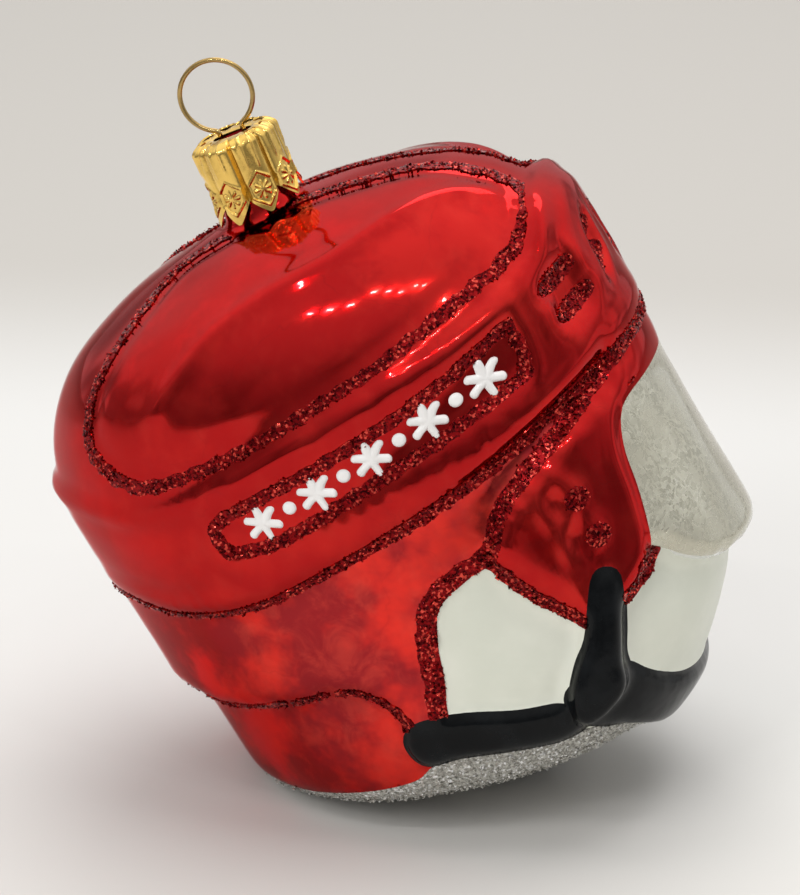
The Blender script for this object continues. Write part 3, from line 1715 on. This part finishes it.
    def glitters(self, under: Patch) -> None:
        """Makes every glitter area.

        Args:
            under: the underside's surface.
        """
        fine = self.fine
        v = fine.values
        strips: dict[str, tuple[Patch, float]] = {}
        crown = self.zone(fine, {}, {"under_crown": GLUE_GAP, "neck": 7.2})
        for side, name in ((-1, "crown_glitter_right"), (1, "crown_glitter_left")):
            half = crown.keep(side * crown.values["y"])
            strips[name] = self.ragged(half, 0.8 - np.abs(half.values["panel"])), THICK_FLAKES
        band = self.zone(fine, {"band": -1.0}, {"vent": GLUE_GAP})
        border = self.ragged(band, 0.9 - np.abs(band.values["recess"] + 0.75), 0.3)
        strips["band_panel_glitter"] = border, THICK_FLAKES
        off = {"arm": GLUE_GAP, "strap": GLUE_GAP}
        shell = self.zone(fine, {"shell": 0.0}, {"band": 0.25, **off, "guard": 0.2})
        line = self.ragged(shell, np.clip(0.6 + 0.03 * shell.values["x"], 0, 2.2) - shell.values["band"])
        strips["band_edge_glitter"] = line, EDGE_FLAKES
        edge = self.zone(fine, {"shell": 0.9}, {"band": 2.2, **off, "guard": GLUE_GAP,
                                                "visor": GLUE_GAP, "cup": GLUE_GAP})
        wide = np.clip((edge.values["x"] - 32) / 6, 0, 1)
        edge = self.ragged(edge, 0.5 + 0.9 * wide - np.abs(edge.values["shell"] - 0.3 + 0.7 * wide), 0.3)
        strips["shell_edge_glitter"] = edge, EDGE_FLAKES
        guard = self.zone(fine, {"guard": 1.6}, {"band": GLUE_GAP, "arm": GLUE_GAP, "visor": 0.35,
                                                 "strap": GLUE_GAP})
        guard = self.ragged(guard, 1.0 - np.abs(guard.values["guard"] - 0.55), 0.25)
        strips["ear_guard_glitter"] = guard, EDGE_FLAKES
        strips["vent_glitter"] = fine.keep(-0.15 - v["vent"]), THICK_FLAKES
        strips["stud_glitter"] = fine.keep(-0.1 - v["stud"]), THICK_FLAKES
        for name, (strip, density) in strips.items():
            self.glitter(name, strip, "red_glitter", self.finishes.red_glitter, density)
        self.glitter("underside_glitter", under, "white_glitter", self.finishes.white_glitter,
                     UNDER_FLAKES, 0.0)

    def star(self, points: Array, size: float, stroke: float) -> Array:
        """Distance to a six-armed star about the origin, wavering as if by brush.

        Args:
            points: places about the star's middle.
            size: length of its arms, tip to tip.
            stroke: their width.

        Returns:
            The distance of each place.
        """
        u, v = points.T
        best = np.full(len(u), 9.0)
        for turn in (30.0, 90.0, 150.0):
            bow = 0.12 * np.sin(1.1 * (u + v) + turn)
            best = np.minimum(best, self.form.slot_distance(u + bow, v - bow, size, stroke, turn))
        return best

    def motif(self) -> None:
        """Raised enamel stars and dots on the floor of the band's sunk panels."""
        s, m = self.sizes, MarkSizes()
        start, stop = (np.array(place) for place in shares(MOTIF_RUN, s))
        radius = s.half + s.band_proud - s.recess_depth
        flat, quads = flat_grid(m.cells, m.cells, m.field)
        tris = np.vstack([quads[:, [0, 1, 2]], quads[:, [0, 2, 3]]])
        points, faces, total = [], [], 0
        for side in (-1, 1):
            for i in range(m.count):
                middle = start + (stop - start) * i / (m.count - 1)
                gap = np.hypot(*flat.T) - m.dot if i % 2 else self.star(flat, m.star, m.stroke)
                mark = Patch(np.column_stack([flat, gap]), tris, {}).keep(m.spill - gap)
                depth = np.clip(-mark.points[:, 2] / m.rounding, 0, 1)
                rise = m.rise * np.sqrt(1 - (1 - depth) ** 2) - m.sink
                x = middle[0] + mark.points[:, 0]
                off = x - s.half
                y = np.sqrt(radius ** 2 - off ** 2)
                share = (radius + rise) / radius
                points.append(np.column_stack([s.half + off * share, side * y * share,
                                               middle[1] + mark.points[:, 1]]))
                faces.append((mark.faces if side < 0 else mark.faces[:, ::-1]) + total)
                total += len(points[-1])
        piece = new_piece("band_motif_strokes", s.place(np.vstack(points)), np.vstack(faces),
                          Body.ORNAMENT, "white_enamel", ("band_motif",))
        thicken(piece, m.wall)
        dress(piece, self.finishes.white)

    def glass(self) -> None:
        """The glass wall behind the coats, its silvering and its open neck."""
        ways, faces = cube_sphere(GLASS_CUTS)
        for name, inward, depth, slot, finish in (
                ("glass_body", GLASS_DEPTH, 0.3, "glass", self.finishes.glass),
                ("silver_lining", LINING_DEPTH, 0.1, "silvering", self.finishes.mirror)):
            points = self.form.project(self.form.centre + self.form.start * ways, inward)
            patch = Patch(points, faces, {})
            middle = points - np.array([self.sizes.neck_forward - 0.6, 0, 0])
            bore = np.hypot(middle[:, 0], middle[:, 1] * self.sizes.squeeze) - NECK_BORE
            patch = patch.keep(np.where(points[:, 2] > self.sizes.band_middle, bore, 10.0))
            piece = new_piece(name + "_wall", self.sizes.place(patch.points), patch.faces,
                              Body.ORNAMENT, slot, (name,))
            thicken(piece, depth)
            dress(piece, finish)
        self.neck()

    def neck(self) -> None:
        """Open neck, spun from its wall's section, with a slightly flared rim."""
        foot = NECK_FOOT + NECK_FOOT_RISE
        section = [(NECK_RADIUS + NECK_FLARE, NECK_FOOT), (NECK_RADIUS, foot),
                   (NECK_RADIUS, NECK_TOP - NECK_FLARE), (NECK_RADIUS - NECK_ROUNDING, NECK_TOP),
                   (NECK_BORE + 0.2, NECK_TOP), (NECK_BORE, NECK_TOP - 0.4), (NECK_BORE, foot),
                   (NECK_BORE + 0.2, NECK_FOOT)]
        piece = spun("glass_neck", section, 48)
        piece.data.transform(self.sizes.neck_matrix())
        tie(piece, Body.ORNAMENT, "red_lacquer", ())
        dress(piece, self.finishes.red)


def spun(name: str, section: Places, steps: int) -> bpy.types.Object:
    """Ring solid spun from a closed section in millimetres.

    Args:
        name: the piece's name.
        section: radius and height of each corner, counter-clockwise from the outside.
        steps: parts of the full turn.

    Returns:
        The new object, in metres.
    """
    edges = [(i, (i + 1) % len(section)) for i in range(len(section))]
    piece = new_object(name, np.array([(r, 0, z) for r, z in section]) * MM, [], edges)
    reshape(piece,
            lambda: bpy.ops.mesh.spin(steps=steps, angle=2 * math.pi, center=(0, 0, 0), axis=(0, 0, 1)),
            lambda: bpy.ops.mesh.remove_doubles(threshold=0.00001),
            lambda: bpy.ops.mesh.normals_make_consistent(inside=False))
    bpy.ops.object.shade_smooth_by_angle(angle=math.radians(40))
    return piece


@dataclass
class Hanger:
    """The pressed cap and the bent wire, in millimetres about the cap's axis."""

    sizes: HeadSizes
    finishes: Finishes
    radius: float = 5.9
    height: float = 9.4
    wall: float = 0.22
    bulge: float = 0.28
    seam_depth: float = 0.5
    seam_width: float = 0.3
    flare: float = 0.4
    flare_height: float = 4.5
    pleat: float = 0.2
    pleat_place: float = 0.75
    crimp: float = 0.09
    crimp_waves: int = 23
    star_height: float = 1.7
    star_reach: float = 1.35
    line_width: float = 0.14
    petals: int = 8
    petal_foot: float = -1.75
    petal_length: float = 2.5
    foot_slope: float = 0.5
    rim_drop: float = 1.3
    slot_length: float = 5.6
    slot_width: float = 2.8
    wire_radius: float = 0.35
    ring_radius: float = 5.0
    ring_height: float = 5.4
    ring_end: float = 2.1
    bend_radius: float = 0.75
    leg_flare_deg: float = 3.0
    leg_length: float = 8.5
    hook_radius: float = 0.6
    hook_turn_deg: float = 150.0
    hook_length: float = 0.4
    columns: int = 440
    rows: int = 84

    def cap(self) -> None:
        """Cap with fluted side, pointed petals, a pressed frost star on each, and a slotted top."""
        flat, faces = flat_grid(self.columns, self.rows, 1.0)
        turn, up = (flat[:, 0] + 0.5) * 2 * math.pi, flat[:, 1] + 0.5
        beat = (turn * self.petals / (2 * math.pi)) % 1.0
        off = np.abs(beat - 0.5) * 2
        foot = self.petal_foot + self.petal_length * np.clip((off - 0.08) / 0.92, 0, 1) ** 1.1
        foot = foot + self.foot_slope * np.cos(turn)
        z = foot + (self.height - foot) * up
        across = (beat - 0.5) * 2 * math.pi * self.radius / self.petals
        seam = (1 - off) * math.pi * self.radius / self.petals
        groove = np.exp(-(seam / self.seam_width) ** 2) * np.clip((z + 1) / 3, 0.4, 1)
        bulge = self.bulge * (1 - off ** 2) - self.seam_depth * groove
        flare = self.flare * np.clip(1 - (z - self.petal_foot) / self.flare_height, 0, 1) ** 1.6
        upper = np.clip((z - 4.6) / 1.2, 0, 1)
        pleat = self.pleat * np.exp(-((np.abs(across) - self.pleat_place) / 0.2) ** 2) * upper
        crimp = self.crimp * self.creases(turn) * np.clip((z - 6.4) / 2, 0, 1)
        turned_in = np.clip((z - self.height + self.rim_drop) / self.rim_drop, 0, 1)
        r = (self.radius - 0.1 + bulge + flare + pleat + crimp - self.rim_drop * turned_in ** 2.2
             + self.pressed(across, z))
        points = np.column_stack([r * np.cos(turn), r * np.sin(turn), z]) * MM
        piece = new_object("hanger_cap_pressed", points, faces.tolist())
        reshape(piece, lambda: bpy.ops.mesh.remove_doubles(threshold=0.000004),
                lambda: bpy.ops.mesh.normals_make_consistent(inside=False))
        wall(piece, self.wall)
        top = self.top()
        activate(piece)
        top.select_set(True)
        bpy.ops.object.join()
        bpy.ops.object.shade_smooth_by_angle(angle=math.radians(55))
        piece.data.transform(self.sizes.neck_matrix())
        tie(piece, Body.CAP, "gold_cap", ("hanger_cap",))
        dress(piece, self.finishes.gold)

    def creases(self, turn: Array) -> Array:
        """Uneven waves round the cap's top, where the sheet is crimped."""
        return np.sin(turn * self.crimp_waves + 1.7 * np.sin(turn * 5))

    def pressed(self, across: Array, z: Array) -> Array:
        """Relief of the six-sided frame on each petal and the frost star inside it.

        Args:
            across: place across the petal.
            z: height above the cap's foot.

        Returns:
            Height of the relief.
        """
        side = np.abs(across)
        frame_edge = np.maximum.reduce([side - 1.72, 0.9 * side + z - 4.3, 0.9 * side - z - 0.65])
        relief = 0.2 * np.exp(-(frame_edge / self.line_width) ** 2) - 0.12 * (frame_edge < -0.15)
        up = z - self.star_height
        away = np.hypot(across, up)
        arms = np.zeros(len(across))
        for turn in (0.0, 45.0, 90.0, 135.0):
            angle = math.radians(turn)
            off = up * math.cos(angle) - across * math.sin(angle)
            arms = np.maximum(arms, np.exp(-(off / self.line_width) ** 2))
        return relief + 0.24 * arms * np.clip((self.star_reach - away) / 0.2, 0, 1)

    def top(self) -> bpy.types.Object:
        """Slightly domed, creased top with its slot, thickened to sheet.

        Returns:
            The top, not yet placed.
        """
        around = np.linspace(0, 2 * math.pi, 120, endpoint=False)
        rings = []
        half = (self.slot_length - self.slot_width) / 2
        end = self.slot_width / 2
        slot = np.column_stack([np.clip(4 * np.cos(around), -half, half) + end * np.cos(around),
                                end * np.sin(around)])
        outer = (self.radius - 0.85) * np.column_stack([np.cos(around), np.sin(around)])
        for share in np.linspace(0, 1, 14):
            ring = slot * (1 - share) + outer * share
            crease = 0.16 * share * self.creases(around)
            crease += 0.1 * np.sin(around * 9) * math.sin(math.pi * share)
            lip = 0.22 * math.exp(-(share / 0.12) ** 2)
            level = self.height - 0.1 - 0.35 * share ** 2 + crease * 0.6 - lip
            rings.append(np.column_stack([ring, level]))
        count = len(around)
        faces = [(i * count + j, i * count + (j + 1) % count, (i + 1) * count + (j + 1) % count,
                  (i + 1) * count + j) for i in range(len(rings) - 1) for j in range(count)]
        piece = new_object("cap_top", np.vstack(rings) * MM, faces)
        reshape(piece, lambda: bpy.ops.mesh.normals_make_consistent(inside=False))
        if piece.data.polygons[0].normal.z < 0:
            piece.data.flip_normals()
        wall(piece, self.wall)
        return piece

    def wire_route(self) -> Array:
        """Centre line of the wire, from one hook to the other, in the plane of the ring.

        Returns:
            The line's places.
        """
        end_z = self.ring_height - math.sqrt(self.ring_radius ** 2 - self.ring_end ** 2)
        lean = math.atan2(self.ring_end, self.ring_height - end_z)
        ring = np.linspace(-math.pi / 2 + lean, 3 * math.pi / 2 - lean, 90)
        circle = np.column_stack([self.ring_radius * np.cos(ring),
                                  self.ring_height + self.ring_radius * np.sin(ring)])
        half: list[Array] = []
        spot = np.array([self.ring_end, end_z])
        way = math.atan2(-self.ring_end, end_z - self.ring_height)
        turn = math.radians(270 + self.leg_flare_deg) - way % (2 * math.pi)
        for radius, angle, run in ((self.bend_radius, turn, self.leg_length),
                                   (self.hook_radius, math.radians(self.hook_turn_deg), self.hook_length)):
            middle = spot + radius * np.array([-math.sin(way), math.cos(way)])
            for share in np.linspace(0, 1, 12)[1:]:
                at = way - math.pi / 2 + share * angle
                half.append(middle + radius * np.array([math.cos(at), math.sin(at)]))
            way += angle
            spot = half[-1]
            for share in np.linspace(0, 1, 8)[1:]:
                half.append(spot + share * run * np.array([math.cos(way), math.sin(way)]))
            spot = half[-1]
        right = np.array(half)
        left = right * np.array([-1, 1])
        return np.vstack([right[::-1], circle, left])

    def wire(self) -> None:
        """Wire swept along its line as a bevelled curve, made a mesh."""
        route = self.wire_route()
        curve = bpy.data.curves.new("wire", "CURVE")
        curve.dimensions = "3D"
        curve.bevel_depth = self.wire_radius * MM
        curve.bevel_resolution = 5
        curve.use_fill_caps = True
        spline = curve.splines.new("POLY")
        spline.points.add(len(route) - 1)
        for point, (x, z) in zip(spline.points, route):
            point.co = (x * MM, 0, (z + self.height) * MM, 1)
        piece = bpy.data.objects.new("hanger_wire_bent", curve)
        bpy.context.collection.objects.link(piece)
        activate(piece)
        bpy.ops.object.convert(target="MESH")
        piece = bpy.context.object
        bpy.ops.object.shade_smooth_by_angle(angle=math.radians(60))
        piece.data.transform(self.sizes.neck_matrix())
        tie(piece, Body.HANGER, "gold_wire", ("hanger_wire",))
        dress(piece, self.finishes.wire)


@dataclass
class Studio:
    """Floor, backdrop, lamps and camera."""

    azimuth_deg: float = 6.0
    elevation_deg: float = 20.0
    distance: float = 0.650
    aim: tuple[float, float, float] = (0.00045, 0.0, 0.0473)
    lens: float = 210.6
    sensor: float = 36.0

    def build(self) -> None:
        """Builds the whole studio."""
        self.floor()
        self.camera()
        self.lamps()
        self.world()

    def floor(self) -> None:
        """Wide pale floor that curves up behind the object."""
        deselect()
        bpy.ops.mesh.primitive_plane_add(size=6.0, location=(0, 0, -0.00005))
        floor = bpy.context.object
        bpy.ops.object.transform_apply(location=True, rotation=True, scale=True)
        floor.name = "studio_floor"
        material = bpy.data.materials.new("floor")
        material.use_nodes = True
        g = Graph(material.node_tree)
        shader = g.add("BsdfPrincipled", {"Roughness": 0.6})
        split = g.add("SeparateXYZ", {0: g.add("TexCoord").outputs["Object"]})
        near = g.ramp(split.outputs[1], -0.08, 0.06)
        far = g.ramp(split.outputs[1], 0.13, 0.23)
        color = g.mix(near, (0.6, 0.58, 0.55), (0.63, 0.62, 0.6))
        g.link(g.mix(far, color, (0.46, 0.437, 0.405)), shader.inputs["Base Color"])
        g.add("OutputMaterial", {"Surface": shader.outputs[0]})
        floor.data.materials.append(material)

    def camera(self) -> None:
        """Camera at the photograph's viewing angle."""
        turn, rise = math.radians(self.azimuth_deg), math.radians(self.elevation_deg)
        back = Vector((math.sin(turn) * math.cos(rise), -math.cos(turn) * math.cos(rise),
                       math.sin(rise)))
        data = bpy.data.cameras.new("camera")
        data.sensor_fit = "HORIZONTAL"
        data.sensor_width = self.sensor
        data.lens = self.lens
        data.clip_start = 0.01
        camera = bpy.data.objects.new("camera", data)
        camera.location = Vector(self.aim) + back * self.distance
        camera.rotation_euler = back.to_track_quat("Z", "Y").to_euler()
        bpy.context.collection.objects.link(camera)
        bpy.context.scene.camera = camera

    @staticmethod
    def lamp(name: str, place: tuple[float, float, float], size: tuple[float, float],
             power: float, mirrored: bool) -> None:
        """Adds a rectangular lamp aimed at the ornament.

        Args:
            name: the lamp's name.
            place: where it stands.
            size: its width and height.
            power: its power in watts.
            mirrored: whether glossy surfaces show it.
        """
        data = bpy.data.lights.new(name, "AREA")
        data.shape = "RECTANGLE"
        data.size, data.size_y = size
        data.energy = power
        lamp = bpy.data.objects.new(name, data)
        lamp.location = place
        way = Vector(place) - Vector((0, 0, 0.05))
        lamp.rotation_euler = way.to_track_quat("Z", "Y").to_euler()
        lamp.visible_glossy = mirrored
        bpy.context.collection.objects.link(lamp)

    def lamps(self) -> None:
        """Soft lamps that only light, and a row of small ones that show as crisp highlights."""
        self.lamp("overhead", (0.05, 0.15, 0.9), (0.8, 0.7), 6.0, False)
        self.lamp("front_left", (-0.5, -0.8, 0.6), (0.5, 0.5), 4.0, False)
        for i in range(8):
            place = (-0.34 + 0.09 * i, -0.45 - 0.03 * (i % 3), 0.72)
            self.lamp(f"small_{i}", place, (0.03, 0.012), 0.16, True)
        self.lamp("window", (0.1, 0.55, 0.85), (0.7, 0.35), 1.6, True)

    @staticmethod
    def world() -> None:
        """Pale surroundings, seen white by the camera and in mirror finishes."""
        world = bpy.data.worlds.new("studio")
        bpy.context.scene.world = world
        world.use_nodes = True
        g = Graph(world.node_tree)
        path = g.add("LightPath")
        where = g.add("TexCoord").outputs["Generated"]
        split = g.add("SeparateXYZ", {0: where})
        height = g.ramp(split.outputs[2], 0.0, 0.8)
        behind = g.ramp(split.outputs[1], -0.6, 0.3)
        front = g.mix(height, (0.3, 0.3, 0.3), (0.9, 0.89, 0.87))
        room = g.mix(behind, front, g.mix(height, (0.85, 0.85, 0.85), (1.3, 1.28, 1.25)))
        dark = g.ramp(g.noise(where, 2.3, 2.0), 0.44, 0.6)
        dark = g.math("MULTIPLY", dark, g.ramp(split.outputs[2], 0.1, 0.5, 0.6, 0.0))
        room = g.mix(dark, room, (0.12, 0.12, 0.12))
        soft = g.add("Background", {"Color": (0.78, 0.78, 0.78, 1), "Strength": 0.6})
        mirrored = g.add("Background", {"Color": room})
        mix = g.add("MixShader", {0: path.outputs["Is Glossy Ray"], 1: soft.outputs[0],
                                  2: mirrored.outputs[0]})
        g.add("OutputWorld", {"Surface": mix.outputs[0]})
        bpy.context.scene.view_settings.view_transform = "Standard"


def main() -> None:
    """Builds the studio and every piece of the ornament."""
    Studio().build()
    sizes = HeadSizes()
    finishes = Finishes(Effects())
    head = Head(sizes, finishes)
    head.glitters(head.coats())
    head.motif()
    head.glass()
    hanger = Hanger(sizes, finishes)
    hanger.cap()
    hanger.wire()


if __name__ == "__main__":
    main()
